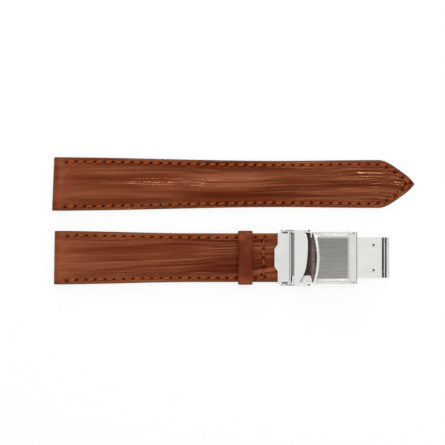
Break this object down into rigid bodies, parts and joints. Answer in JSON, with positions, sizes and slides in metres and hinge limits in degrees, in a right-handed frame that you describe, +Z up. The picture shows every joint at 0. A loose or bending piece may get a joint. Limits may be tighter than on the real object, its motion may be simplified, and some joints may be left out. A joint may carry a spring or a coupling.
{
  "type": "watch strap",
  "caption": "Two-piece padded leather watch strap with stitched edges, a sliding keeper and an arched fold-over steel clasp with a safety flap and a hinged tail cover.",
  "frame": {"origin": "centre of the bounding box's footprint, on the table that the strap lies on", "axes": "+X along the strap towards the tip and the clasp's hinge, +Y towards the long half, +Z up, the outside of the leather"},
  "size_m": [0.135, 0.0478, 0.0091],
  "materials": {
    "embossed_leather": "embossed, glossy",
    "lining_leather": "smooth, matt",
    "padding_felt": "pressed felt",
    "waxed_thread": "waxed",
    "keeper_leather": "smooth, satin",
    "polished_steel": "polished stainless steel",
    "brushed_steel": "brushed stainless steel"
  },
  "bodies": {
    "strap": {"long_top_leather": "embossed_leather", "long_padding": "padding_felt", "long_lining": "lining_leather", "long_stitching": "waxed_thread", "short_top_leather": "embossed_leather", "short_padding": "padding_felt", "short_lining": "lining_leather", "short_stitching": "waxed_thread"},
    "keeper": {"keeper": "keeper_leather"},
    "clasp_base": {"end_frame": "polished_steel", "base_blade": "polished_steel", "blade_rivets": "polished_steel", "catch_hook": "polished_steel", "bar_tube": "brushed_steel", "bar_spring": "brushed_steel"},
    "plunger_front": {"bar_plunger_front": "brushed_steel"},
    "plunger_rear": {"bar_plunger_rear": "brushed_steel"},
    "flap": {"safety_flap": "polished_steel"},
    "upper": {"upper_blade": "polished_steel", "tail_frame": "polished_steel", "clamp_bar": "polished_steel", "fold_pin": "polished_steel", "cover_pin": "polished_steel"},
    "cover": {"cover": "brushed_steel", "grip_bar": "polished_steel"}
  },
  "joints": [
    {"name": "keeper_slide", "type": "slide", "parent": "strap", "child": "keeper", "axis": [1, 0, 0], "range_m": [-0.015, 0.003]},
    {"name": "clasp_swing", "type": "hinge", "parent": "strap", "child": "clasp_base", "pos_m": [0.0191, -0.01355, 0.0026], "axis": [0, 1, 0], "range_deg": [-2, 45]},
    {"name": "flap_lift", "type": "hinge", "parent": "clasp_base", "child": "flap", "pos_m": [0.0191, -0.01355, 0.0026], "axis": [0, -1, 0], "range_deg": [0, 95]},
    {"name": "clasp_unfold", "type": "hinge", "parent": "clasp_base", "child": "upper", "pos_m": [0.0563, -0.01355, 0.00213], "axis": [0, 1, 0], "range_deg": [0, 175]},
    {"name": "cover_lift", "type": "hinge", "parent": "upper", "child": "cover", "pos_m": [0.04515, -0.01355, 0.00769], "axis": [0, 1, 0], "range_deg": [0, 80]},
    {"name": "plunger_front_push", "type": "slide", "parent": "clasp_base", "child": "plunger_front", "axis": [0, 1, 0], "range_m": [0, 0.0012], "stiffness_N_per_m": 300, "springref_m": -0.003, "deforming": ["bar_spring"]},
    {"name": "plunger_rear_push", "type": "slide", "parent": "clasp_base", "child": "plunger_rear", "axis": [0, -1, 0], "range_m": [0, 0.0012], "stiffness_N_per_m": 300, "springref_m": -0.003, "deforming": ["bar_spring"]}
  ]
}
